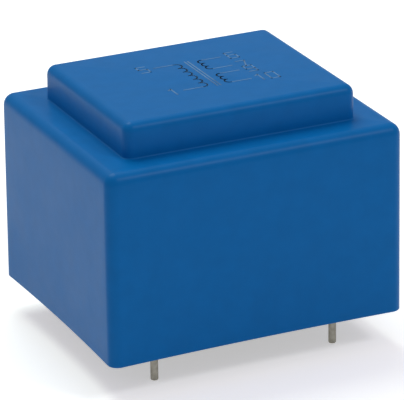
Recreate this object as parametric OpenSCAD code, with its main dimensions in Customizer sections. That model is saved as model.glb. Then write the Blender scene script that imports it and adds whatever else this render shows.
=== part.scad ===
// Potted transformer for printed circuit boards, on small E and I laminations.
// An open-bottomed moulded case with a raised dome holds an interleaved core, a two-chamber coil
// former on two pin rails, a primary, two secondaries and their lead-outs, all cast in resin.
// Millimetres. +Z points away from the board. The origin is the middle of the pin grid, on the
// seating plane. The primary pins stand on the -Y side.

/* [Core] */
// Half the width of the centre leg, which the E and I lengths all follow
leg_half_w = 5; // [4.5:0.25:5.5]
// Height of the lamination stack
stack_h = 12.5; // [10.5:0.5:18]
// Thickness of one sheet with its film
sheet_t = 0.5; // [0.35:0.05:0.65]
// Insulating film between two sheets
film_t = 0.02; // [0.01:0.01:0.05]
// Gap where an I meets the legs of its E
butt_gap = 0.05; // [0.02:0.01:0.1]

/* [Case] */
// Wall of the case, everywhere
wall = 1; // [0.8:0.1:1.3]
// Draft of every outer wall, in degrees
draft_deg = 0.3; // [0:0.1:1]
// Rounding of the case's outer edges
edge_r = 1.2; // [0.6:0.1:1.5]
// Rounding of the dome's outer edges
dome_r = 1; // [0.5:0.1:1.3]
// Rounding of the edges inside the case
inner_r = 0.4; // [0.2:0.1:0.7]
// Gap between the core and the case wall at the shoulder
core_gap = 0.15; // [0.1:0.05:0.5]
// Space between the core and the shoulder, bridged by the stops
shoulder_gap = 1.3; // [0.8:0.1:2]
// Side of each square stop under the shoulder
stop_w = 2; // [1.5:0.25:3]
// Gap between the coil former's wings and lips and the dome wall
dome_gap = 0.25; // [0.1:0.05:0.6]
// Gap between the coil former and the dome's roof
roof_gap = 0.4; // [0.2:0.1:1]
// Width of each centring rib
rib_w = 1.2; // [0.8:0.1:2]
// Clearance between a rib or stop and the core
seat_gap = 0.05; // [0.02:0.01:0.1]

/* [Resin] */
// Depth of the resin's free face inside the rim
resin_level = 0.4; // [0.2:0.1:0.5]
// Film between the resin and what it wets
bond = 0.01; // [0.005:0.005:0.02]

/* [Coil former] */
// Gap between the centre leg and the tube
tube_gap = 0.2; // [0.1:0.05:0.3]
// Wall of the tube
tube_t = 0.7; // [0.5:0.1:0.9]
// Thickness of the flanges and of the partition
flange_t = 0.8; // [0.6:0.1:1]
// Gap between the outer flanges and the core's yokes
yoke_gap = 0.1; // [0.05:0.05:0.2]
// Gap between the flange edges and the outer legs
leg_gap = 0.5; // [0.3:0.1:0.6]
// Reach of the wings past the flange edges, over and under the core
wing_out = 1.9; // [1.2:0.1:2.4]
// Gap between the wings or rails and the core
wing_gap = 0.25; // [0.15:0.05:0.35]
// Reach of the lips past the outer flanges, at the top
lip_out = 1.45; // [0.8:0.05:2]
// Height of the flanges' lower edge over the seating plane
foot_gap = 0.9; // [0.8:0.1:1.4]
// Height of the pin rails
rail_h = 2.5; // [2:0.1:2.8]
// Length of each rail past its outer pin
rail_end = 2.4; // [1.5:0.1:2.8]
// Width of each rail past its row of pins
rail_out = 1.4; // [1:0.1:1.6]
// Plastic left over the end of each pin hole
hole_roof = 0.4; // [0.3:0.1:0.6]

/* [Pins] */
// Distance between neighbouring pin positions
pin_pitch = 5; // [4.5:0.25:5.5]
// Distance between the two rows
rows_apart = 20; // [19:0.25:21]
// Diameter of a pin
pin_d = 0.8; // [0.6:0.05:1]
// Length of a pin below the seating plane
pin_len = 3.8; // [3:0.1:5]
// Rounding of a pin's tip
tip_r = 0.12; // [0.05:0.01:0.2]
// Growth of a pin's radius inside the resin, which wedges it in its rail
pin_wedge = 0.03; // [0.01:0.01:0.05]

/* [Windings] */
// Wire of the lead-outs
lead_d = 0.4; // [0.25:0.05:0.45]
// Tape over each chamber
tape_t = 0.2; // [0.1:0.05:0.3]
// Chamber depth left free outside the wire
rim_free = 0.7; // [0.6:0.1:1]
// Gap between a winding and its neighbours in the chamber
coil_gap = 0.05; // [0.03:0.01:0.1]
// Distance of the outer lead exits from the tube's sides
outer_exit = 0.9; // [0.5:0.1:1.5]
// Distance of the inner lead exits from the middle
inner_exit = 2; // [1.5:0.1:2.5]
// Space beside each lead in its flange slot
slot_gap = 0.25; // [0.1:0.05:0.4]
// Height of the solder below the wrapped wire
solder_h = 0.4; // [0.2:0.05:0.4]

/* [Hidden] */

// Core, by the scrapless rule: the I sheets are what is punched from the E sheets' windows
core_w = 6 * leg_half_w;
core_d = 5 * leg_half_w;
window_len = 3 * leg_half_w;
sheet_count = floor(stack_h / sheet_t);

// Coil former, upwards from the board
tube_half_w = leg_half_w + tube_gap + tube_t;
tube_half_h = stack_h / 2 + tube_gap + tube_t;
chamber_depth = leg_half_w - tube_gap - tube_t - leg_gap;
flange_half_w = tube_half_w + chamber_depth;
flange_half_h = tube_half_h + chamber_depth;
flange_y = window_len / 2 - yoke_gap;
wing_half_w = flange_half_w + wing_out;
axis_z = foot_gap + flange_half_h;
core_z = axis_z - stack_h / 2;
core_top = core_z + stack_h;
former_top = axis_z + flange_half_h;
rail_top = core_z - wing_gap;
rail_z = rail_top - rail_h;
row_y = rows_apart / 2;

// Case
slope = tan(draft_deg);
shoulder_z = core_top + shoulder_gap + wall;
top_z = former_top + roof_gap + wall;
ceiling_z = shoulder_z - wall;
rim_half_w = core_w / 2 + core_gap + wall + shoulder_z * slope;
rim_half_d = core_d / 2 + core_gap + wall + shoulder_z * slope;
dome_run = (top_z - shoulder_z) * slope;
dome_half_w = wing_half_w + dome_gap + wall + dome_run;
dome_half_d = flange_y + lip_out + dome_gap + wall + dome_run;
rib_foot = rail_z;
stop_x = core_w / 2 - stop_w;
stop_y = core_d / 2 - stop_w;
rib_x = core_w / 2 - leg_half_w;
rib_y = core_d / 2 - leg_half_w;

// Windings, and the lead-outs that leave them
build = chamber_depth - rim_free;
half_build = (build - coil_gap) / 2;
chamber_in = flange_t / 2 + coil_gap;
chamber_out = flange_y - flange_t - lead_d - 2 * coil_gap;
lead_r = lead_d / 2;
lead_y = flange_y - flange_t - lead_r - coil_gap;
lead_z = axis_z - tube_half_h - build - lead_r;
// Tight enough for a bend to stay inside the straight channels cut for it
lead_bend = 1.3 * lead_r;
wrap_r = pin_d / 2 + pin_wedge + lead_r + bond;
wrap_out = wrap_r + lead_r;
wrap_foot = lead_z - lead_r - bond;
wrap_pitch = lead_d + bond;
wrap_turns = floor(8 * (rail_z - lead_z - lead_r - bond) / wrap_pitch) / 8;
wrap_steps = 12;
lead_sides = 8;

// Pins: number, column counted from the middle, side of the board, height in its chamber where
// the wire leaves the winding, as 0 at the tube to 1 at the outer turn
PINS = [
    [1, -2, -1, 0.1], [5, 2, -1, 0.9],
    [6, 2, 1, 0.1], [7, 1, 1, 0.4], [9, -1, 1, 0.6], [10, -2, 1, 0.9]
];
pin_top = rail_top - hole_roof;
eps = 0.01;
round_fn = 48;
edge_fn = 32;
inner_fn = 16;

blue = [0.09, 0.34, 0.6];
resin_black = [0.12, 0.12, 0.13];
former_grey = [0.82, 0.8, 0.74];
core_steel = [0.45, 0.46, 0.48];
copper = [0.72, 0.38, 0.18];
tape_yellow = [0.9, 0.75, 0.25];
tin = [0.68, 0.67, 0.63];
solder_grey = [0.76, 0.76, 0.75];

// --- Helpers ---

function unit(v) = v / norm(v);
function pin_row(number) = [for (p = PINS) if (p[0] == number) p][0];
function pin_at(p) = [p[1] * pin_pitch, p[2] * row_y];
function exit_x(p) =
    abs(p[1]) > 1 ? sign(p[1]) * (tube_half_w - outer_exit) : sign(p[1]) * inner_exit;

// Points of a rounded corner at b, between a and c
function bend(a, b, c, r) =
    let (from = b + r * unit(a - b), to = b + r * unit(c - b))
    [for (t = [0:0.25:1]) (1 - t) ^ 2 * from + 2 * t * (1 - t) * b + t ^ 2 * to];

// Directions along a path, and one normal carried along it without twist
function tangents(path) =
    [for (i = [0:len(path) - 1])
        unit(path[min(i + 1, len(path) - 1)] - path[max(i - 1, 0)])];
function level(n, t) = unit(n - (n * t) * t);
function normals(dirs, first) =
    [for (i = 0, n = level(first, dirs[0]);
          i < len(dirs);
          i = i + 1, n = i < len(dirs) ? level(n, dirs[i]) : n) n];

// A round wire along a path
module wire(path, r, sides) {
    dirs = tangents(path);
    ups = normals(dirs, [1, 0, 0]);
    points = [for (i = [0:len(path) - 1], j = [0:sides - 1])
        path[i] + r * (cos(360 * j / sides) * ups[i]
                       + sin(360 * j / sides) * cross(dirs[i], ups[i]))];
    skin = [for (i = [0:len(path) - 2], j = [0:sides - 1])
        [i * sides + j, (i + 1) * sides + j,
         (i + 1) * sides + (j + 1) % sides, i * sides + (j + 1) % sides]];
    first = [for (j = [0:sides - 1]) j];
    last = [for (j = [sides - 1:-1:0]) (len(path) - 1) * sides + j];
    polyhedron(points, concat([first], skin, [last]));
}

// A straight round channel between two points at one height
module channel(from, to, r) {
    run = to - from;
    translate(from) {
        rotate([0, 90, atan2(run[1], run[0])]) cylinder(r = r, h = norm(run), $fn = inner_fn);
        sphere(r = r, $fn = inner_fn);
    }
}

module rounded_rect(w, h, r) {
    square([w - 2 * r, h], center = true);
    square([w, h - 2 * r], center = true);
    for (x = [-1, 1], y = [-1, 1])
        translate([x * (w / 2 - r), y * (h / 2 - r)]) circle(r = r, $fn = round_fn);
}

// Stands a flat shape in the XZ plane on the coil's axis and extrudes it from y0 to y1
module across(y0, y1) {
    translate([0, y1, axis_z]) rotate([90, 0, 0]) linear_extrude(y1 - y0) children();
}

// A drafted block with round upright edges and a round top edge, half_w by half_d at its foot
module drafted_block(half_w, half_d, z0, z1, r, fn) {
    run = (z1 - z0) * slope;
    hull()
        for (x = [-1, 1], y = [-1, 1]) {
            translate([x * (half_w - r), y * (half_d - r), z0])
                cylinder(r = r, h = eps, $fn = fn);
            translate([x * (half_w - run - r), y * (half_d - run - r), z1 - r])
                sphere(r = r, $fn = fn);
        }
}

// --- Case and resin ---

// The hollow of the case above z0, smaller by gap all round
module case_space(z0, gap) {
    inset = wall + gap;
    drafted_block(rim_half_w - z0 * slope - inset, rim_half_d - z0 * slope - inset,
                  z0, ceiling_z - gap, inner_r, inner_fn);
    dome_foot = ceiling_z - 2 * inner_r;
    widen = (shoulder_z - dome_foot) * slope;
    drafted_block(dome_half_w + widen - inset, dome_half_d + widen - inset,
                  dome_foot, top_z - inset, inner_r, inner_fn);
}

// Ribs that centre the core, and stops that it is pushed against
module core_seats(gap) {
    rib_top = ceiling_z + wall / 2;
    reach = core_w / 2 + seat_gap - gap;
    reach_d = core_d / 2 + seat_gap - gap;
    width = rib_w + 2 * gap;
    for (x = [-1, 1], y = [-1, 1]) {
        translate([x * (reach + wall / 2), y * rib_y, (rib_foot - gap + rib_top) / 2])
            cube([wall, width, rib_top - rib_foot + gap], center = true);
        translate([x * rib_x, y * (reach_d + wall / 2), (rib_foot - gap + rib_top) / 2])
            cube([width, wall, rib_top - rib_foot + gap], center = true);
        stop_foot = core_top + seat_gap - gap;
        translate([x * stop_x, y * stop_y, (stop_foot + rib_top) / 2])
            cube([stop_w + 2 * gap, stop_w + 2 * gap, rib_top - stop_foot], center = true);
    }
}

module case() {
    color(blue) {
        difference() {
            union() {
                drafted_block(rim_half_w, rim_half_d, 0, shoulder_z, edge_r, edge_fn);
                dome_foot = shoulder_z - wall / 2;
                drafted_block(dome_half_w + slope * wall / 2, dome_half_d + slope * wall / 2,
                              dome_foot, top_z, dome_r, edge_fn);
            }
            case_space(-wall, 0);
        }
        core_seats(0);
    }
}

// What the E and I sheets fill together, with their two windows
module core_block() {
    translate([0, 0, core_z])
        linear_extrude(stack_h)
            difference() {
                square([core_w, core_d], center = true);
                for (x = [-1, 1])
                    translate([x * 1.5 * leg_half_w, 0])
                        square([leg_half_w, window_len], center = true);
            }
}

// What the tube, its windings and their tape fill together
module coil_block() {
    reach = build + tape_t + bond;
    across(-flange_y, flange_y)
        rounded_rect(2 * (tube_half_w + reach), 2 * (tube_half_h + reach), reach);
}

module potting() {
    color(resin_black)
        difference() {
            case_space(resin_level, bond);
            core_seats(bond);
            core_block();
            coil_block();
            coil_former();
            for (p = PINS) {
                translate(concat(pin_at(p), [0])) pin_pocket();
                channel(lead_inside(p), lead_outside(p), lead_r + bond);
                channel(lead_outside(p), lead_touch(p), lead_r + bond);
            }
        }
}

// What a pin, its wrapped wire and its solder fill together in the resin, as one turned shape
module pin_pocket() {
    pin_in = pin_d / 2 + bond;
    wedge_in = pin_in + pin_wedge + bond;
    rotate_extrude($fn = round_fn)
        polygon(concat(
            [[0, -pin_len], [pin_in, -pin_len], [pin_in, wrap_foot - solder_h - bond]],
            bead_curve(bond),
            [[wrap_out + bond, wrap_foot - bond], [wrap_out + bond, rail_z + eps],
             [wedge_in, rail_z + eps], [wedge_in, pin_top + 2 * bond], [0, pin_top + 2 * bond]]
        ));
}

// --- Core ---

module e_sheet() {
    u = leg_half_w;
    linear_extrude(sheet_t - film_t)
        difference() {
            translate([-3 * u, -1.5 * u]) square([6 * u, 4 * u]);
            for (x = [-2 * u, u])
                translate([x, -1.5 * u - eps]) square([u, window_len + eps]);
        }
}

module i_sheet() {
    linear_extrude(sheet_t - film_t)
        translate([-3 * leg_half_w, -2.5 * leg_half_w]) square([6 * leg_half_w, leg_half_w - butt_gap]);
}

// Sheets lie alternately one way round and the other
module interleaved() {
    for (i = [0:sheet_count - 1])
        translate([0, 0, core_z + i * sheet_t]) rotate(180 * (i % 2)) children();
}

module e_laminations() {
    color(core_steel) interleaved() e_sheet();
}

module i_laminations() {
    color(core_steel) interleaved() i_sheet();
}

// --- Coil former ---

// Flange outline: as wide as the window allows beside the core, wider over and under it
module flange_shape() {
    wing_z = stack_h / 2 + wing_gap;
    wing_h = flange_half_h - wing_z;
    rounded_rect(2 * flange_half_w, 2 * flange_half_h, wing_h / 4);
    for (z = [-1, 1])
        translate([0, z * (wing_z + wing_h / 2)])
            rounded_rect(2 * wing_half_w, wing_h, wing_h / 4);
}

module coil_former() {
    rail_half = 2 * pin_pitch + rail_end;
    rail_w = row_y + rail_out - flange_y;
    color(former_grey)
        difference() {
            union() {
                across(-flange_y, flange_y)
                    square([2 * tube_half_w, 2 * tube_half_h], center = true);
                for (y = [-flange_y, -flange_t / 2, flange_y - flange_t])
                    across(y, y + flange_t) flange_shape();
                for (side = [-1, 1]) {
                    translate([-rail_half, side * (flange_y + rail_w / 2) - rail_w / 2, rail_z])
                        cube([2 * rail_half, rail_w, rail_h]);
                    translate([-wing_half_w, side * (flange_y + lip_out / 2) - lip_out / 2,
                               former_top - flange_t])
                        cube([2 * wing_half_w, lip_out, flange_t]);
                }
            }
            across(-flange_y - eps, flange_y + eps)
                square([2 * (tube_half_w - tube_t), 2 * (tube_half_h - tube_t)], center = true);
            for (p = PINS) {
                slot_w = lead_d + 2 * slot_gap;
                slot_top = lead_z + lead_r + slot_gap;
                translate([exit_x(p) - slot_w / 2,
                           p[2] * (flange_y - flange_t / 2) - flange_t,
                           foot_gap - eps])
                    cube([slot_w, 2 * flange_t, slot_top - foot_gap + eps]);
                translate(concat(pin_at(p), [0])) pin_shape(bond);
            }
        }
}

// --- Windings and tape ---

// A winding of rounded-rectangular turns, from one depth over the tube to another
module turns(side, depth0, depth1) {
    y0 = side > 0 ? chamber_in : -chamber_out;
    y1 = side > 0 ? chamber_out : -chamber_in;
    across(y0, y1)
        difference() {
            rounded_rect(2 * (tube_half_w + depth1), 2 * (tube_half_h + depth1), depth1);
            rounded_rect(2 * (tube_half_w + depth0), 2 * (tube_half_h + depth0),
                         max(depth0, coil_gap));
        }
}

module primary_winding() {
    color(copper) turns(-1, coil_gap, build);
}

module secondary_winding_inner() {
    color(copper) turns(1, coil_gap, half_build);
}

module secondary_winding_outer() {
    color(copper) turns(1, half_build + coil_gap, build);
}

module primary_tape() {
    color(tape_yellow) turns(-1, build, build + tape_t);
}

module secondary_tape() {
    color(tape_yellow) turns(1, build, build + tape_t);
}

// --- Pins, lead-outs and solder ---

// A round pin with a rounded tip, straight below the resin and wedge-shaped inside it
module pin_shape(gap) {
    r = pin_d / 2 + gap;
    rotate_extrude($fn = round_fn)
        polygon(concat(
            [[0, -pin_len]],
            [for (a = [0:30:90]) [r - tip_r + tip_r * sin(a), -pin_len + tip_r * (1 - cos(a))]],
            [[r, resin_level], [r + pin_wedge, pin_top + gap], [0, pin_top + gap]]
        ));
}

module pin(number) {
    color(tin) translate(concat(pin_at(pin_row(number)), [0])) pin_shape(0);
}

// Where a wire turns out of its chamber, and where it turns towards its pin
function lead_inside(p) = [exit_x(p), p[2] * lead_y, lead_z];
function lead_outside(p) = [exit_x(p), p[2] * (flange_y + lead_bend), lead_z];

// Direction in which it then runs, and where it meets the pin
function lead_heading(p) =
    let (far = pin_at(p) - [lead_outside(p)[0], lead_outside(p)[1]])
    atan2(far[1], far[0]) - asin(wrap_r / norm(far));
function wrap_point(p, a, z) = concat(pin_at(p) + wrap_r * [cos(a), sin(a)], [z]);
function lead_touch(p) = wrap_point(p, lead_heading(p) - 90, lead_z);

// Way of a wire: down inside the flange, out through its slot, across and round the pin
function lead_path(p) =
    let (
        start = [exit_x(p), p[2] * lead_y, axis_z - tube_half_h - p[3] * build],
        steps = ceil(wrap_turns * wrap_steps)
    )
    concat(
        [start],
        bend(start, lead_inside(p), lead_outside(p), lead_bend),
        bend(lead_inside(p), lead_outside(p), lead_touch(p), lead_bend),
        [for (i = [0:steps])
            wrap_point(p, lead_heading(p) - 90 + 360 * wrap_turns * i / steps,
                       lead_z + wrap_turns * wrap_pitch * i / steps)]
    );

module lead(number) {
    color(copper) wire(lead_path(pin_row(number)), lead_r, lead_sides);
}

// Hollow cheek of the solder, from the pin out to the wrapped wire, moved out and down by gap
function bead_curve(gap) =
    [for (a = [15:15:75])
        [pin_d / 2 + gap + (wrap_out - pin_d / 2) * (1 - cos(a)),
         wrap_foot - gap - solder_h * (1 - sin(a))]];

// Solder drawn up to the lowest turn
module solder(number) {
    color(solder_grey)
        translate(concat(pin_at(pin_row(number)), [0]))
            difference() {
                rotate_extrude($fn = round_fn)
                    polygon(concat(
                        [[0, wrap_foot - solder_h], [pin_d / 2, wrap_foot - solder_h]],
                        bead_curve(0),
                        [[wrap_out, wrap_foot], [0, wrap_foot]]
                    ));
                pin_shape(bond);
            }
}

case();
potting();
coil_former();
e_laminations();
i_laminations();
primary_winding();
secondary_winding_inner();
secondary_winding_outer();
primary_tape();
secondary_tape();
pin(1);  // pin_1
pin(5);  // pin_5
pin(6);  // pin_6
pin(7);  // pin_7
pin(9);  // pin_9
pin(10);  // pin_10
lead(1);  // lead_1
lead(5);  // lead_5
lead(6);  // lead_6
lead(7);  // lead_7
lead(9);  // lead_9
lead(10);  // lead_10
solder(1);  // solder_1
solder(5);  // solder_5
solder(6);  // solder_6
solder(7);  // solder_7
solder(9);  // solder_9
solder(10);  // solder_10
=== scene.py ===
import logging
import math
from collections.abc import Iterable, Sequence
from dataclasses import dataclass, field
from enum import Enum

import bmesh
import bpy
from mathutils import Matrix, Vector

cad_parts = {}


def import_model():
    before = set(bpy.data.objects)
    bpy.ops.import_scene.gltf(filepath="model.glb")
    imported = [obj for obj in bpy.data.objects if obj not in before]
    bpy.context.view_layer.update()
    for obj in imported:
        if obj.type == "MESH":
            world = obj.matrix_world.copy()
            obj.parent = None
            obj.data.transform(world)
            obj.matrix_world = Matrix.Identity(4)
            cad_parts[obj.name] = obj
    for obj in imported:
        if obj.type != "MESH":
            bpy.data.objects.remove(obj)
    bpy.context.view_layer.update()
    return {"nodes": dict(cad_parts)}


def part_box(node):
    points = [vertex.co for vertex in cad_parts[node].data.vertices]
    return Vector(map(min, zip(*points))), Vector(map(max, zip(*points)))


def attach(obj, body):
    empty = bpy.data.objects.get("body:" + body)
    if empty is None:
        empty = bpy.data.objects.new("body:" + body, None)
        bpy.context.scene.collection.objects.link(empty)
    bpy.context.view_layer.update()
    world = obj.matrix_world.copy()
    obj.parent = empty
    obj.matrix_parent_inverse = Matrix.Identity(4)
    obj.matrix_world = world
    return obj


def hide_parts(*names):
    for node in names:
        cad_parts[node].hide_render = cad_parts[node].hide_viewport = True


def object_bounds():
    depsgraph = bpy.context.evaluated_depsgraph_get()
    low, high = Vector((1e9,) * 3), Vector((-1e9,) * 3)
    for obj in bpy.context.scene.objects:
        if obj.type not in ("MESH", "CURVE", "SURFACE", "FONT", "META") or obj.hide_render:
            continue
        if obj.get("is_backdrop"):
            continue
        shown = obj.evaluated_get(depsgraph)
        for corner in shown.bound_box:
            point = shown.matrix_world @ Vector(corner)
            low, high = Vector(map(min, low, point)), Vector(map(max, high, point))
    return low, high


# Looks of a potted transformer for printed circuit boards. Metres, in the frame of the solids:
# +Z points away from the board, and the origin is the middle of the pin grid on the seating plane.

MM = 0.001
log = logging.getLogger("transformer")

# Sizes that several pieces share, as the solids have them.
WALL = 1 * MM
INNER_R = 0.4 * MM
SHOULDER_Z = 20.2 * MM
RESIN_Z = 0.4 * MM

# Corner radius of a rounding that has closed to a point.
CLOSED_R = 1e-6

# Span of a noise value that is stretched over a whole range or ramp.
NOISE_DARK = 0.3
NOISE_LIGHT = 0.7

Point = tuple[float, float, float]
Colour = tuple[float, float, float]
Socket = bpy.types.NodeSocket


class Body(Enum):
    """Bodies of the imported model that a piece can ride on."""

    ROOT = "root"


class Slot(Enum):
    """Material slots of the record."""

    CASE = "case"
    RESIN = "resin"
    FORMER = "former"
    CORE = "core"
    COPPER = "copper"
    TAPE = "tape"
    PIN = "pin_tin"
    SOLDER = "solder"


# --- Finishes ---


class Shader:
    """A node material under construction, with short ways to add and join nodes."""

    def __init__(self, name: str) -> None:
        """Start an empty material with a Principled shader.

        Args:
            name: Name of the material.
        """
        self.material = bpy.data.materials.new(name)
        self.material.use_nodes = True
        self.tree = self.material.node_tree
        self.skin = self.tree.nodes["Principled BSDF"]
        self.place = self.add("ShaderNodeTexCoord").outputs["Object"]

    def add(self, kind: str, **values: object) -> bpy.types.Node:
        """Add a node and set its attributes or its input sockets.

        Args:
            kind: Type name of the node.
            **values: Attributes by name, or sockets by name with spaces as underscores.

        Returns:
            The new node.
        """
        node = self.tree.nodes.new(kind)
        for key, value in values.items():
            if hasattr(node, key):
                setattr(node, key, value)
            else:
                node.inputs[key.replace("_", " ")].default_value = value
        return node

    def join(self, source: Socket, target: Socket) -> None:
        """Join an output socket to an input socket."""
        self.tree.links.new(source, target)

    def noise(self, cell: float, detail: float = 2.0, roughness: float = 0.5) -> Socket:
        """Add a noise over the object.

        Args:
            cell: Size of its cells in metres.
            detail: Number of finer layers.
            roughness: Strength of the finer layers.

        Returns:
            The noise value.
        """
        node = self.add("ShaderNodeTexNoise", Scale=1 / cell, Detail=detail, Roughness=roughness)
        self.join(self.place, node.inputs["Vector"])
        return node.outputs["Fac"]

    def spread(self, value: Socket, low: float, high: float) -> Socket:
        """Map a noise value onto a range.

        Args:
            value: Noise value.
            low: Result for the noise's dark cells.
            high: Result for its light cells.

        Returns:
            The mapped value.
        """
        node = self.add("ShaderNodeMapRange")
        node.inputs["From Min"].default_value = NOISE_DARK
        node.inputs["From Max"].default_value = NOISE_LIGHT
        node.inputs["To Min"].default_value = low
        node.inputs["To Max"].default_value = high
        self.join(value, node.inputs["Value"])
        return node.outputs["Result"]

    def tint(self, value: Socket, dark: Colour, light: Colour) -> None:
        """Colour the skin by a noise, from dark cells to light ones.

        Args:
            value: Noise value.
            dark: Colour of the dark cells.
            light: Colour of the light cells.
        """
        ramp = self.add("ShaderNodeValToRGB")
        ramp.color_ramp.elements[0].position = NOISE_DARK
        ramp.color_ramp.elements[0].color = (*dark, 1)
        ramp.color_ramp.elements[1].position = NOISE_LIGHT
        ramp.color_ramp.elements[1].color = (*light, 1)
        self.join(value, ramp.inputs["Fac"])
        self.join(ramp.outputs["Color"], self.skin.inputs["Base Color"])

    def bump(self, value: Socket, depth: float, below: Socket | None = None,
             strength: float = 1.0) -> Socket:
        """Add relief, on top of a coarser one where given.

        Args:
            value: Height from 0 to 1.
            depth: Height of the relief in metres.
            below: Normal of a coarser relief.
            strength: Share of the relief that shows.

        Returns:
            The new normal.
        """
        node = self.add("ShaderNodeBump", Distance=depth, Strength=strength)
        self.join(value, node.inputs["Height"])
        if below is not None:
            self.join(below, node.inputs["Normal"])
        return node.outputs["Normal"]

    def finish(self, normal: Socket, **values: float) -> bpy.types.Material:
        """Give the skin its normal and its constant values.

        Args:
            normal: Normal of the skin.
            **values: Principled sockets by name with spaces as underscores.

        Returns:
            The finished material.
        """
        self.join(normal, self.skin.inputs["Normal"])
        for key, value in values.items():
            self.skin.inputs[key.replace("_", " ")].default_value = value
        return self.material


def shade(colour: Colour, by: float) -> Colour:
    """Return a colour made lighter or darker by a factor."""
    return (colour[0] * by, colour[1] * by, colour[2] * by)


@dataclass(frozen=True)
class Moulded:
    """Moulded plastic with a fine grain from the tool."""

    name: str
    colour: Colour
    roughness: float = 0.36
    gloss: float = 0.1
    mottle: float = 0.035
    grain: float = 0.11 * MM
    grain_depth: float = 0.004 * MM
    sink: float = 9 * MM
    sink_depth: float = 0.05 * MM
    mottle_cell: float = 1.6 * MM
    dull_cell: float = 3 * MM
    dull_spread: float = 0.03

    def material(self) -> bpy.types.Material:
        """Build the material.

        Returns:
            A plastic with grain, faint mottling and a slow waviness.
        """
        shader = Shader(self.name)
        shader.tint(shader.noise(self.mottle_cell, 3), shade(self.colour, 1 - self.mottle),
                    shade(self.colour, 1 + self.mottle))
        rough = shader.spread(shader.noise(self.dull_cell, 3), self.roughness - self.dull_spread,
                              self.roughness + self.dull_spread)
        shader.join(rough, shader.skin.inputs["Roughness"])
        wave = shader.bump(shader.noise(self.sink, 1), self.sink_depth)
        grain = shader.bump(shader.noise(self.grain, 3, 0.6), self.grain_depth, wave)
        return shader.finish(grain, IOR=1.5, Specular_IOR_Level=self.gloss)


@dataclass(frozen=True)
class CastResin:
    """Potting resin with a smooth free face."""

    name: str
    colour: Colour
    glossiest: float = 0.16
    dullest: float = 0.3
    flow: float = 6 * MM
    flow_depth: float = 0.12 * MM
    pit: float = 0.35 * MM
    pit_depth: float = 0.006 * MM

    def material(self) -> bpy.types.Material:
        """Build the material.

        Returns:
            A dark gloss with slow flow marks and a few fine pits.
        """
        shader = Shader(self.name)
        shader.tint(shader.noise(4 * MM, 4), shade(self.colour, 0.8), shade(self.colour, 1.3))
        rough = shader.spread(shader.noise(5 * MM, 3), self.glossiest, self.dullest)
        shader.join(rough, shader.skin.inputs["Roughness"])
        flow = shader.bump(shader.noise(self.flow, 2), self.flow_depth)
        pits = shader.bump(shader.noise(self.pit, 1), self.pit_depth, flow)
        return shader.finish(pits, IOR=1.54)


@dataclass(frozen=True)
class DrawnMetal:
    """Metal drawn or rolled along one axis, with fine lines along it."""

    name: str
    colour: Colour
    roughness: float
    line: float
    depth: float
    metallic: float = 1.0
    along: Point = (1, 1, 0.04)

    def material(self) -> bpy.types.Material:
        """Build the material.

        Returns:
            A metal with lines, uneven dullness and a slow change of tone.
        """
        shader = Shader(self.name)
        shader.tint(shader.noise(0.5 * MM, 4), shade(self.colour, 0.78), shade(self.colour, 1.12))
        stretch = shader.add("ShaderNodeMapping")
        stretch.inputs["Scale"].default_value = self.along
        shader.join(shader.place, stretch.inputs["Vector"])
        lines = shader.add("ShaderNodeTexNoise", Scale=1 / self.line, Detail=3.0)
        shader.join(stretch.outputs["Vector"], lines.inputs["Vector"])
        rough = shader.spread(shader.noise(0.9 * MM, 3), self.roughness - 0.08,
                              self.roughness + 0.1)
        shader.join(rough, shader.skin.inputs["Roughness"])
        relief = shader.bump(lines.outputs["Fac"], self.depth)
        return shader.finish(relief, Metallic=self.metallic)


@dataclass(frozen=True)
class Wound:
    """A winding seen as rows of enamelled wire, side by side along the coil's axis."""

    name: str
    colour: Colour
    wire: float
    waver: float = 0.3
    ridge: float = 0.4

    def material(self) -> bpy.types.Material:
        """Build the material.

        Returns:
            A lacquered metal with one ridge for each turn.
        """
        shader = Shader(self.name)
        shader.tint(shader.noise(0.8 * MM, 3), shade(self.colour, 0.8), shade(self.colour, 1.15))
        turns = shader.add("ShaderNodeTexWave", bands_direction="Y", wave_profile="SIN")
        # The node's phase runs 20 times as fast as its coordinate.
        turns.inputs["Scale"].default_value = math.pi / (10 * self.wire)
        turns.inputs["Distortion"].default_value = self.waver
        shader.join(shader.place, turns.inputs["Vector"])
        relief = shader.bump(turns.outputs["Fac"], self.ridge * self.wire)
        return shader.finish(relief, Metallic=0.9, Roughness=0.3, Coat_Weight=0.6)


class Finishes:
    """Every finish of the transformer, built once and shared by its pieces."""

    def __init__(self) -> None:
        """Build the materials by slot."""
        self.by_slot: dict[Slot, bpy.types.Material] = {
            Slot.CASE: Moulded("case_blue", (0.001, 0.14, 0.43)).material(),
            Slot.RESIN: CastResin("resin_black", (0.012, 0.012, 0.014)).material(),
            Slot.FORMER: Moulded("former_pale", (0.58, 0.54, 0.45), roughness=0.5).material(),
            Slot.CORE: DrawnMetal("core_sheet", (0.3, 0.31, 0.33), 0.42, 0.2 * MM, 0.002 * MM,
                                  along=(0.04, 1, 1)).material(),
            Slot.COPPER: Wound("enamelled_wire", (0.62, 0.22, 0.07), 0.14 * MM).material(),
            Slot.TAPE: Moulded("winding_tape", (0.75, 0.5, 0.08), roughness=0.3,
                               grain=0.6 * MM).material(),
            Slot.PIN: DrawnMetal("dull_tin", (0.36, 0.345, 0.29), 0.46, 0.12 * MM,
                                 0.004 * MM).material(),
            Slot.SOLDER: DrawnMetal("solder", (0.6, 0.6, 0.58), 0.25, 0.4 * MM, 0.003 * MM,
                                    along=(1, 1, 1)).material(),
        }
        self.ink = Moulded("pale_ink", (0.13, 0.27, 0.5), roughness=0.5, mottle=0.22).material()

    def of(self, slot: Slot) -> bpy.types.Material:
        """Return the material of a slot."""
        return self.by_slot[slot]


# --- Meshes ---


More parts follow.
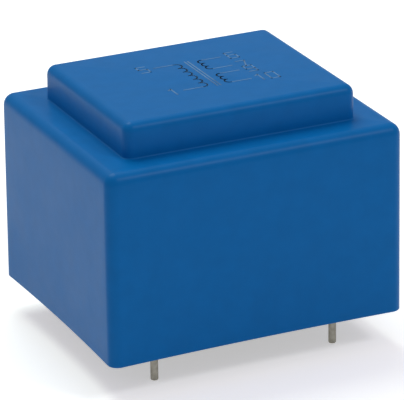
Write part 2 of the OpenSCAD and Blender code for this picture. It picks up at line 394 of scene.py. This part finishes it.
@dataclass(frozen=True)
class Ring:
    """A level rounded rectangle that a lofted shell passes through."""

    half_w: float
    half_d: float
    corner: float
    z: float

    def points(self, arc: int, side: int) -> list[Vector]:
        """Return its points, anticlockwise from the +X side.

        Args:
            arc: Steps round each corner.
            side: Steps along each side.

        Returns:
            Points that match those of any other ring with the same steps.
        """
        reach_x = self.half_w - self.corner
        reach_y = self.half_d - self.corner
        centres = [(reach_x, reach_y), (-reach_x, reach_y),
                   (-reach_x, -reach_y), (reach_x, -reach_y)]
        found: list[Vector] = []
        for quarter, (x, y) in enumerate(centres):
            for step in range(arc + 1):
                angle = math.radians(90 * (quarter + step / arc))
                found.append(Vector((x + self.corner * math.cos(angle),
                                     y + self.corner * math.sin(angle), self.z)))
            after = centres[(quarter + 1) % 4]
            turn = math.radians(90 * (quarter + 1))
            start = found[-1]
            end = Vector((after[0] + self.corner * math.cos(turn),
                          after[1] + self.corner * math.sin(turn), self.z))
            found += [start.lerp(end, step / side) for step in range(1, side)]
        return found


class Loft:
    """A closed surface through a run of rings, capped at both ends."""

    def __init__(self, arc: int, side: int) -> None:
        """Start an empty surface.

        Args:
            arc: Steps round each corner.
            side: Steps along each side.
        """
        self.arc = arc
        self.side = side
        self.mesh = bmesh.new()
        self.last: list[bmesh.types.BMVert] = []

    def ring(self, ring: Ring) -> None:
        """Add the next ring and the faces that lead to it."""
        verts = [self.mesh.verts.new(point) for point in ring.points(self.arc, self.side)]
        count = len(verts)
        for i in range(count if self.last else 0):
            j = (i + 1) % count
            self.mesh.faces.new((self.last[i], self.last[j], verts[j], verts[i]))
        self.last = verts

    def cap(self) -> None:
        """Close the surface inside the last ring."""
        self.mesh.faces.new(self.last)

    def object(self, name: str, flat_angle: float) -> bpy.types.Object:
        """Make the object.

        Args:
            name: Name of the object.
            flat_angle: Edges sharper than this angle, in degrees, stay sharp.

        Returns:
            The object, linked to the scene.
        """
        bmesh.ops.remove_doubles(self.mesh, verts=self.mesh.verts, dist=1e-7)
        bmesh.ops.dissolve_degenerate(self.mesh, edges=self.mesh.edges, dist=1e-8)
        bmesh.ops.recalc_face_normals(self.mesh, faces=self.mesh.faces)
        return settle(self.mesh, name, flat_angle)


def settle(mesh: bmesh.types.BMesh, name: str, flat_angle: float) -> bpy.types.Object:
    """Turn a built mesh into an object with smooth and sharp edges told apart.

    Args:
        mesh: The built mesh, which is freed.
        name: Name of the object.
        flat_angle: Edges sharper than this angle, in degrees, stay sharp.

    Returns:
        The object, linked to the scene.
    """
    limit = math.radians(flat_angle)
    for face in mesh.faces:
        face.smooth = True
    for edge in mesh.edges:
        edge.smooth = len(edge.link_faces) == 2 and edge.calc_face_angle(0) < limit
    data = bpy.data.meshes.new(name)
    mesh.to_mesh(data)
    mesh.free()
    made = bpy.data.objects.new(name, data)
    bpy.context.scene.collection.objects.link(made)
    return made


def quarter_turn(steps: int) -> list[tuple[float, float]]:
    """Return (sine, 1 - cosine) from 0 to 90 degrees in so many steps."""
    angles = [math.pi / 2 * i / steps for i in range(steps + 1)]
    return [(math.sin(a), 1 - math.cos(a)) for a in angles]


def turned(profile: Sequence[tuple[float, float]], at: Point, name: str, sides: int,
           flat_angle: float) -> bpy.types.Object:
    """Turn a profile about an upright axis.

    Args:
        profile: Radius and height of each point, from one end on the axis to the other.
        at: Foot of the axis.
        name: Name of the object.
        sides: Steps round the axis.
        flat_angle: Edges sharper than this angle, in degrees, stay sharp.

    Returns:
        The object, linked to the scene.
    """
    mesh = bmesh.new()
    base = Vector(at)
    rows = []
    angles = [2 * math.pi * i / sides for i in range(sides)]
    for radius, height in profile:
        round_it = [Vector((radius * math.cos(a), radius * math.sin(a), height)) for a in angles]
        rows.append([mesh.verts.new(base + point) for point in round_it])
    for low, high in zip(rows, rows[1:]):
        for i in range(sides):
            j = (i + 1) % sides
            mesh.faces.new((low[i], low[j], high[j], high[i]))
    bmesh.ops.remove_doubles(mesh, verts=mesh.verts, dist=1e-8)
    bmesh.ops.recalc_face_normals(mesh, faces=mesh.faces)
    return settle(mesh, name, flat_angle)


def dress(piece: bpy.types.Object, material: bpy.types.Material,
          stands_for: Iterable[str] = ()) -> bpy.types.Object:
    """Give a new piece its material and its place in the frame.

    Args:
        piece: The piece.
        material: Its material.
        stands_for: Nodes of the frame that it replaces.

    Returns:
        The piece.
    """
    piece.data.materials.clear()
    piece.data.materials.append(material)
    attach(piece, Body.ROOT.value)
    for node in stands_for:
        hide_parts(node)
    log.info("%s: %d faces", piece.name, len(piece.data.polygons))
    return piece


# --- The case ---


@dataclass(frozen=True)
class DrawnIn:
    """Bow of the open walls, drawn in at the rim by resin that shrinks as it cures."""

    long_sides: float = 0.36 * MM
    short_sides: float = 0.3 * MM
    fade: float = 2.0
    top_z: float = SHOULDER_Z

    def apply(self, mesh: bmesh.types.BMesh) -> None:
        """Move each point of a mesh inwards by its share of the bow.

        Args:
            mesh: Mesh whose walls stand where the case's do.
        """
        _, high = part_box("case")
        for vert in mesh.verts:
            x, y = vert.co.x / high.x, vert.co.y / high.y
            share = max(0.0, 1 - max(vert.co.z, 0.0) / self.top_z) ** self.fade
            vert.co.x -= self.short_sides * share * x * max(0.0, 1 - y * y)
            vert.co.y -= self.long_sides * share * y * max(0.0, 1 - x * x)


@dataclass
class Case:
    """Open-bottomed moulded case with a raised dome."""

    finishes: Finishes
    wall: float = WALL
    draft: float = math.tan(math.radians(0.3))
    edge_r: float = 1.2 * MM
    dome_r: float = 1.0 * MM
    inner_r: float = INNER_R
    shoulder_z: float = SHOULDER_Z
    dome_half_w: float = 12.665 * MM
    dome_half_d: float = 10.12 * MM
    foot_fillet: float = 0.12 * MM
    rim_break: float = 0.06 * MM
    arc: int = 14
    side: int = 26
    foot_arc: int = 4
    inner_arc: int = 5
    wall_steps: int = 12
    dome_steps: int = 4
    inner_steps: int = 8
    flat_angle: float = 35
    high: Vector = field(init=False)

    def __post_init__(self) -> None:
        """Take the outer sizes from the frame."""
        _, self.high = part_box("case")

    def outer_rings(self) -> list[Ring]:
        """Return the rings of the outside, from the rim up to the roof."""
        half_w, half_d = self.high.x, self.high.y
        rings = [Ring(half_w - self.rim_break, half_d - self.rim_break,
                      self.edge_r - self.rim_break, 0)]
        for step in range(self.wall_steps + 1):
            rise = self.shoulder_z - self.edge_r - self.rim_break
            z = self.rim_break + rise * step / self.wall_steps
            rings.append(Ring(half_w - z * self.draft, half_d - z * self.draft, self.edge_r, z))
        run = self.shoulder_z * self.draft
        for up, inward in quarter_turn(self.arc)[1:]:
            drop = self.edge_r * inward
            rings.append(Ring(half_w - run - drop, half_d - run - drop,
                              max(self.edge_r - drop, CLOSED_R),
                              self.shoulder_z - self.edge_r * (1 - up)))
        return rings

    def shelf_rings(self) -> list[Ring]:
        """Return the rings across the shoulder and into the foot of the dome."""
        fillet = self.foot_fillet
        rings = []
        for up, inward in quarter_turn(self.foot_arc):
            out = fillet * (1 - up)
            rings.append(Ring(self.dome_half_w + out, self.dome_half_d + out, self.dome_r + out,
                              self.shoulder_z + fillet * inward))
        return rings

    def dome_rings(self) -> list[Ring]:
        """Return the rings of the dome's walls and its rounded upper edge."""
        top = self.high.z
        rings = []
        foot = self.shoulder_z + 2 * self.foot_fillet
        for step in range(self.dome_steps + 1):
            z = foot + (top - self.dome_r - foot) * step / self.dome_steps
            inset = (z - self.shoulder_z) * self.draft
            rings.append(Ring(self.dome_half_w - inset, self.dome_half_d - inset, self.dome_r, z))
        run = (top - self.shoulder_z) * self.draft
        for up, inward in quarter_turn(self.arc)[1:]:
            drop = self.dome_r * inward
            rings.append(Ring(self.dome_half_w - run - drop, self.dome_half_d - run - drop,
                              max(self.dome_r - drop, CLOSED_R), top - self.dome_r * (1 - up)))
        return rings

    def inner_rings(self) -> list[Ring]:
        """Return the rings of the hollow, from its roof down to the rim."""
        rings = []
        roof = self.high.z - self.wall
        ceiling = self.shoulder_z - self.wall
        inset = self.wall + (self.high.z - self.shoulder_z) * self.draft
        for up, inward in reversed(quarter_turn(self.inner_arc)):
            drop = self.inner_r * inward
            rings.append(Ring(self.dome_half_w - inset - drop, self.dome_half_d - inset - drop,
                              max(self.inner_r - drop, CLOSED_R), roof - self.inner_r * (1 - up)))
        rings.append(Ring(self.dome_half_w - self.wall, self.dome_half_d - self.wall,
                          self.inner_r, ceiling))
        inset = self.wall + ceiling * self.draft
        for up, inward in reversed(quarter_turn(self.inner_arc)):
            drop = self.inner_r * inward
            rings.append(Ring(self.high.x - inset - drop, self.high.y - inset - drop,
                              max(self.inner_r - drop, CLOSED_R),
                              ceiling - self.inner_r * (1 - up)))
        for step in range(1, self.inner_steps + 1):
            z = (ceiling - self.inner_r) * (1 - step / self.inner_steps)
            rings.append(Ring(self.high.x - self.wall - z * self.draft,
                              self.high.y - self.wall - z * self.draft, self.inner_r, z))
        return rings

    def build(self) -> bpy.types.Object:
        """Loft the shell from its roof inside, round the rim, to its roof outside.

        Returns:
            The dressed case.
        """
        loft = Loft(self.arc, self.side)
        for number, ring in enumerate(self.inner_rings() + self.outer_rings()
                                      + self.shelf_rings() + self.dome_rings()):
            loft.ring(ring)
            if number == 0:
                loft.cap()
        loft.cap()
        DrawnIn().apply(loft.mesh)
        piece = loft.object("case_shell", self.flat_angle)
        return dress(piece, self.finishes.of(Slot.CASE), ["case"])


# --- The pins ---


@dataclass
class SolderPins:
    """The six round pins, tinned, with their cut ends slightly rounded."""

    finishes: Finishes
    numbers: tuple[int, ...] = (1, 5, 6, 7, 9, 10)
    tip_r: float = 0.12 * MM
    resin_z: float = RESIN_Z
    radius: float = 0.4 * MM
    sides: int = 40
    tip_arc: int = 6
    flat_angle: float = 40

    def profile(self, foot: float, top: float, head_r: float) -> list[tuple[float, float]]:
        """Return radius and height along a pin.

        Args:
            foot: Height of its tip.
            top: Height of its upper end.
            head_r: Radius at its upper end.

        Returns:
            Points from the tip's middle to the middle of the upper end.
        """
        tip = [(self.radius - self.tip_r + self.tip_r * out, foot + self.tip_r * up)
               for out, up in quarter_turn(self.tip_arc)]
        return [(0, foot), *tip, (self.radius, self.resin_z), (head_r, top), (0, top)]

    def build(self) -> list[bpy.types.Object]:
        """Turn each pin where its solid stands.

        Returns:
            The dressed pins.
        """
        pins = []
        for number in self.numbers:
            node = f"pin_{number}"
            low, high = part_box(node)
            middle = (low + high) / 2
            piece = turned(self.profile(low.z, high.z, (high.x - low.x) / 2),
                           (middle.x, middle.y, 0), f"solder_pin_{number}", self.sides,
                           self.flat_angle)
            pins.append(dress(piece, self.finishes.of(Slot.PIN), [node]))
        return pins


# --- The resin's wetted edges ---


@dataclass
class Meniscus:
    """The resin drawn up the wall and round each pin at its free face."""

    finishes: Finishes
    height: float = 0.22 * MM
    reach: float = 0.5 * MM
    resin_z: float = RESIN_Z
    wall: float = WALL
    inner_r: float = INNER_R
    gap: float = 0.01 * MM
    closed_r: float = 1e-5
    steps: int = 6
    arc: int = 6
    side: int = 26
    sides: int = 40
    flat_angle: float = 60

    def curve(self) -> list[tuple[float, float]]:
        """Return distance from the wetted wall and height below the free face."""
        return [(self.reach * up, self.height * (1 - up) ** 2)
                for up, _ in quarter_turn(self.steps)]

    def edge(self) -> bpy.types.Object:
        """Loft the band along the case's wall.

        Returns:
            The dressed band.
        """
        _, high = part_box("case")
        loft = Loft(self.arc, self.side)
        for away, drop in self.curve():
            inset = self.wall + self.gap + away
            loft.ring(Ring(high.x - inset, high.y - inset, max(self.inner_r - away, self.closed_r),
                           self.resin_z - drop))
        half_w, half_d = high.x - self.wall - self.gap, high.y - self.wall - self.gap
        top = self.resin_z + self.gap
        back = [Ring(half_w - self.reach, half_d - self.reach, self.closed_r, top),
                Ring(half_w, half_d, self.inner_r, top)]
        for ring in back:
            loft.ring(ring)
        DrawnIn().apply(loft.mesh)
        piece = loft.object("resin_edge", self.flat_angle)
        return dress(piece, self.finishes.of(Slot.RESIN))

    def collars(self) -> list[bpy.types.Object]:
        """Turn the fillet round each pin.

        Returns:
            The dressed fillets.
        """
        made = []
        for number in SolderPins(self.finishes).numbers:
            low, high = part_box(f"pin_{number}")
            middle = (low + high) / 2
            start = (high.x - low.x) / 2
            wet = [(start + away, self.resin_z - drop) for away, drop in self.curve()]
            top = self.resin_z + self.gap
            profile = [*wet, (start + self.reach, top), (start, top), wet[0]]
            piece = turned(profile, (middle.x, middle.y, 0), f"resin_collar_{number}", self.sides,
                           self.flat_angle)
            made.append(dress(piece, self.finishes.of(Slot.RESIN)))
        return made

    def build(self) -> None:
        """Make the band and the fillets."""
        self.edge()
        self.collars()


# --- The print on the dome ---


@dataclass
class WindingPrint:
    """A generic winding diagram with plain pin numbers, printed in thin pale ink."""

    finishes: Finishes
    line: float = 0.16 * MM
    ink: float = 0.012 * MM
    digit_h: float = 1.7 * MM
    digit_w: float = 0.95 * MM
    digit_pitch: float = 1.45
    lead: float = 2.2 * MM
    bite: float = 0.25
    arc_steps: int = 10
    flat_angle: float = 30
    strokes: list[list[tuple[float, float]]] = field(default_factory=list)

    DIGITS = {
        "0": [[(0, 0), (1, 0), (1, 2), (0, 2), (0, 0)]],
        "1": [[(0.2, 1.6), (0.6, 2), (0.6, 0)]],
        "5": [[(1, 2), (0, 2), (0, 1.1), (1, 1.1), (1, 0), (0, 0)]],
        "6": [[(1, 2), (0, 2), (0, 0), (1, 0), (1, 1.1), (0, 1.1)]],
        "7": [[(0, 2), (1, 2), (0.4, 0)]],
        "9": [[(0, 0), (1, 0), (1, 2), (0, 2), (0, 0.9), (1, 0.9)]],
    }

    # In millimetres: straight side, lower end, upper end, half circles and the side they bulge to.
    COILS = ((-1.1, -3.6, 3.6, 6, 1), (1.9, 0.8, 3.6, 3, -1), (1.9, -3.6, -0.8, 3, -1))
    # In millimetres: places of the two lines for the core, and how far they reach.
    CORE_LINES = (0.25, 0.6)
    CORE_REACH = 3.9
    # Pin numbers and, in millimetres, their places.
    LABELS = (("5", -4.5, 3.6), ("1", -4.5, -3.6), ("6", 5.4, 3.6), ("7", 5.4, 0.8),
              ("9", 5.4, -0.8), ("10", 5.8, -3.6))

    def number(self, text: str, x: float, y: float) -> None:
        """Draw a plain number centred at a place on the dome.

        Args:
            text: Its digits.
            x: Place of its middle.
            y: Place of its middle.
        """
        pitch = self.digit_w * self.digit_pitch
        start = x - pitch * (len(text) - 1) / 2 - self.digit_w / 2
        for place, digit in enumerate(text):
            for path in self.DIGITS[digit]:
                self.strokes.append([(start + place * pitch + px * self.digit_w,
                                      y + (py / 2 - 0.5) * self.digit_h) for px, py in path])

    def coil(self, x: float, y0: float, y1: float, loops: int, side: int) -> None:
        """Draw a winding as a run of half circles with a lead at each end.

        Args:
            x: Place of its straight side.
            y0: Its lower end.
            y1: Its upper end.
            loops: Number of half circles.
            side: Side that they bulge to, -1 or 1.
        """
        radius = (y1 - y0) / loops / 2
        path = [(x - side * self.lead, y0), (x, y0)]
        for loop in range(loops):
            middle = y0 + (2 * loop + 1) * radius
            turns = [math.pi * i / self.arc_steps for i in range(1, self.arc_steps + 1)]
            path += [(x + side * radius * math.sin(turn), middle - radius * math.cos(turn))
                     for turn in turns]
        path.append((x - side * self.lead, y1))
        self.strokes.append(path)

    def ribbon(self, mesh: bmesh.types.BMesh, path: list[tuple[float, float]], z: float) -> None:
        """Lay one stroke of ink as short overlapping bars.

        Args:
            mesh: Mesh that takes the bars.
            path: Points of the stroke.
            z: Height of the surface under the ink.
        """
        half = self.line / 2
        for start, end in zip(path, path[1:]):
            a, b = Vector((*start, 0)), Vector((*end, 0))
            along = (b - a).normalized() * half
            across = Vector((-along.y, along.x, 0))
            foot = [a - along - across, b + along - across, b + along + across, a - along + across]
            low = [mesh.verts.new(p + Vector((0, 0, z - self.ink * self.bite))) for p in foot]
            high = [mesh.verts.new(p + Vector((0, 0, z + self.ink))) for p in foot]
            mesh.faces.new(low[::-1])
            mesh.faces.new(high)
            for i in range(4):
                j = (i + 1) % 4
                mesh.faces.new((low[i], low[j], high[j], high[i]))

    def build(self) -> bpy.types.Object:
        """Draw the diagram and lay its ink on the dome.

        Returns:
            The dressed print.
        """
        for x, y0, y1, loops, side in self.COILS:
            self.coil(x * MM, y0 * MM, y1 * MM, loops, side)
        for x in self.CORE_LINES:
            self.strokes.append([(x * MM, -self.CORE_REACH * MM), (x * MM, self.CORE_REACH * MM)])
        for text, x, y in self.LABELS:
            self.number(text, x * MM, y * MM)
        _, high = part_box("case")
        mesh = bmesh.new()
        for path in self.strokes:
            self.ribbon(mesh, path, high.z)
        piece = settle(mesh, "winding_print", self.flat_angle)
        return dress(piece, self.finishes.ink)


# --- What the resin hides ---


@dataclass
class Inside:
    """The core, the coil and its connections, which keep their solids."""

    finishes: Finishes
    nodes: dict[str, bpy.types.Object]

    SLOTS = {
        "potting": Slot.RESIN, "coil_former": Slot.FORMER,
        "e_laminations": Slot.CORE, "i_laminations": Slot.CORE,
        "primary_winding": Slot.COPPER, "secondary_winding_inner": Slot.COPPER,
        "secondary_winding_outer": Slot.COPPER,
        "primary_tape": Slot.TAPE, "secondary_tape": Slot.TAPE,
    }

    def slot_of(self, node: str) -> Slot | None:
        """Return the slot of a node, or None where a new piece stands for it."""
        if node.startswith("lead_"):
            return Slot.COPPER
        if node.startswith("solder_"):
            return Slot.SOLDER
        return self.SLOTS.get(node)

    def build(self) -> None:
        """Give each hidden solid its finish."""
        for node, piece in sorted(self.nodes.items()):
            slot = self.slot_of(node)
            if slot is None:
                continue
            material = self.finishes.of(slot)
            if piece.material_slots:
                for place in piece.material_slots:
                    place.material = material
            else:
                piece.data.materials.append(material)
            log.info("%s: %s", node, material.name)


# --- Studio ---


@dataclass(frozen=True)
class Softbox:
    """A square soft light that faces the part."""

    name: str
    place: Point
    size: float
    watts: float
    colour: Colour = (1, 1, 1)

    def build(self, target: Vector) -> bpy.types.Object:
        """Hang the light.

        Args:
            target: Point that it faces.

        Returns:
            The light.
        """
        lamp = bpy.data.lights.new(self.name, "AREA")
        lamp.size = self.size
        lamp.energy = self.watts
        lamp.color = self.colour
        made = bpy.data.objects.new(self.name, lamp)
        bpy.context.scene.collection.objects.link(made)
        made.location = self.place
        made.rotation_euler = (target - made.location).to_track_quat("-Z", "Y").to_euler()
        return made


@dataclass
class Studio:
    """Plain pale floor, soft light and the camera."""

    azimuth: float = -25.034
    elevation: float = 21.863
    roll: float = -0.768
    focal: float = 316.14
    distance: float = 362.28 * MM
    target: Point = (0, 0, 10.07 * MM)
    slide_right: float = 0.168 * MM
    slide_up: float = 0.057 * MM
    world_level: float = 0.38
    world_tint: Colour = (1, 0.92, 1)
    world_gloss: float = 0.38
    floor_lift: float = 0.45
    floor_half: float = 1.5
    sensor: float = 36
    near: float = 0.01
    far: float = 20

    def camera(self) -> None:
        """Place the camera at the viewing angle."""
        az, el, roll = (math.radians(a) for a in (self.azimuth, self.elevation, self.roll))
        ahead = Vector((-math.sin(az) * math.cos(el), math.cos(az) * math.cos(el), -math.sin(el)))
        right = Vector((math.cos(az), math.sin(az), 0))
        up = right.cross(ahead)
        across = math.cos(roll) * right + math.sin(roll) * up
        upright = -math.sin(roll) * right + math.cos(roll) * up
        data = bpy.data.cameras.new("camera")
        data.lens = self.focal
        data.sensor_width = self.sensor
        data.clip_start = self.near
        data.clip_end = self.far
        made = bpy.data.objects.new("camera", data)
        bpy.context.scene.collection.objects.link(made)
        middle = Vector(self.target) + across * self.slide_right + upright * self.slide_up
        turn = Matrix((across, upright, -ahead)).transposed().to_4x4()
        made.matrix_world = Matrix.Translation(middle - ahead * self.distance) @ turn
        bpy.context.scene.camera = made

    def whiten(self, shader: Shader) -> None:
        """Lift the floor to white for the camera and for gloss, and keep the part's shadow on it.

        Args:
            shader: Material of the floor.
        """
        tree = shader.tree
        rays = shader.add("ShaderNodeLightPath")
        either = shader.add("ShaderNodeMath", operation="MAXIMUM")
        white = shader.add("ShaderNodeEmission", Strength=self.floor_lift)
        dark = shader.add("ShaderNodeEmission", Strength=0.0)
        lift = shader.add("ShaderNodeMixShader")
        both = shader.add("ShaderNodeAddShader")
        shader.join(rays.outputs["Is Camera Ray"], either.inputs[0])
        shader.join(rays.outputs["Is Glossy Ray"], either.inputs[1])
        shader.join(either.outputs[0], lift.inputs["Fac"])
        shader.join(dark.outputs[0], lift.inputs[1])
        shader.join(white.outputs[0], lift.inputs[2])
        shader.join(shader.skin.outputs[0], both.inputs[0])
        shader.join(lift.outputs[0], both.inputs[1])
        shader.join(both.outputs[0], tree.nodes["Material Output"].inputs["Surface"])

    def world(self) -> None:
        """Light the part evenly, with a white surround for the camera."""
        world = bpy.data.worlds.new("studio")
        bpy.context.scene.world = world
        world.use_nodes = True
        tree = world.node_tree
        rays = tree.nodes.new("ShaderNodeLightPath")
        seen = tree.nodes["Background"].outputs[0]
        tree.nodes["Background"].inputs["Color"].default_value = (*self.world_tint, 1)
        tree.nodes["Background"].inputs["Strength"].default_value = self.world_level
        for ray, strength in (("Is Glossy Ray", self.world_gloss), ("Is Camera Ray", 1.0)):
            white = tree.nodes.new("ShaderNodeBackground")
            white.inputs["Color"].default_value = (1, 1, 1, 1)
            white.inputs["Strength"].default_value = strength
            mix = tree.nodes.new("ShaderNodeMixShader")
            tree.links.new(rays.outputs[ray], mix.inputs["Fac"])
            tree.links.new(seen, mix.inputs[1])
            tree.links.new(white.outputs[0], mix.inputs[2])
            seen = mix.outputs[0]
        tree.links.new(seen, tree.nodes["World Output"].inputs["Surface"])

    def floor(self) -> None:
        """Lay the floor under the pins' tips."""
        low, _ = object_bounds()
        data = bpy.data.meshes.new("floor")
        half = self.floor_half
        corners = [(-half, -half, 0), (half, -half, 0), (half, half, 0), (-half, half, 0)]
        data.from_pydata(corners, [], [(0, 1, 2, 3)])
        made = bpy.data.objects.new("floor", data)
        made.location.z = low.z
        bpy.context.scene.collection.objects.link(made)
        shader = Shader("floor_white")
        shader.tint(shader.noise(0.05, 2), (0.9, 0.9, 0.9), (0.94, 0.94, 0.94))
        data.materials.append(shader.finish(shader.bump(shader.noise(0.002), 1e-5), Roughness=0.8))
        self.whiten(shader)
        made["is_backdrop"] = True

    def build(self) -> None:
        """Set up floor, world, lights and camera."""
        self.floor()
        self.world()
        middle = Vector(self.target)
        lights = [
            Softbox("overhead", (-0.02, 0.22, 0.45), 0.3, 1.2, (1, 1.12, 1)),
            Softbox("key", (0.2, -0.27, 0.38), 0.11, 0.42),
        ]
        for light in lights:
            light.build(middle)
        self.camera()


def numbers(box: Iterable[Vector]) -> list[list[float]]:
    """Return a box's corners as plain lists."""
    return [list(corner) for corner in box]


def main() -> None:
    """Dress the frame, piece by piece, and set up the studio."""
    logging.basicConfig(level=logging.INFO, format="%(message)s")
    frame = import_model()
    bpy.context.scene.view_settings.view_transform = "Standard"
    finishes = Finishes()
    Case(finishes).build()
    SolderPins(finishes).build()
    Meniscus(finishes).build()
    WindingPrint(finishes).build()
    Inside(finishes, frame["nodes"]).build()
    Studio().build()


if __name__ == "__main__":
    main()
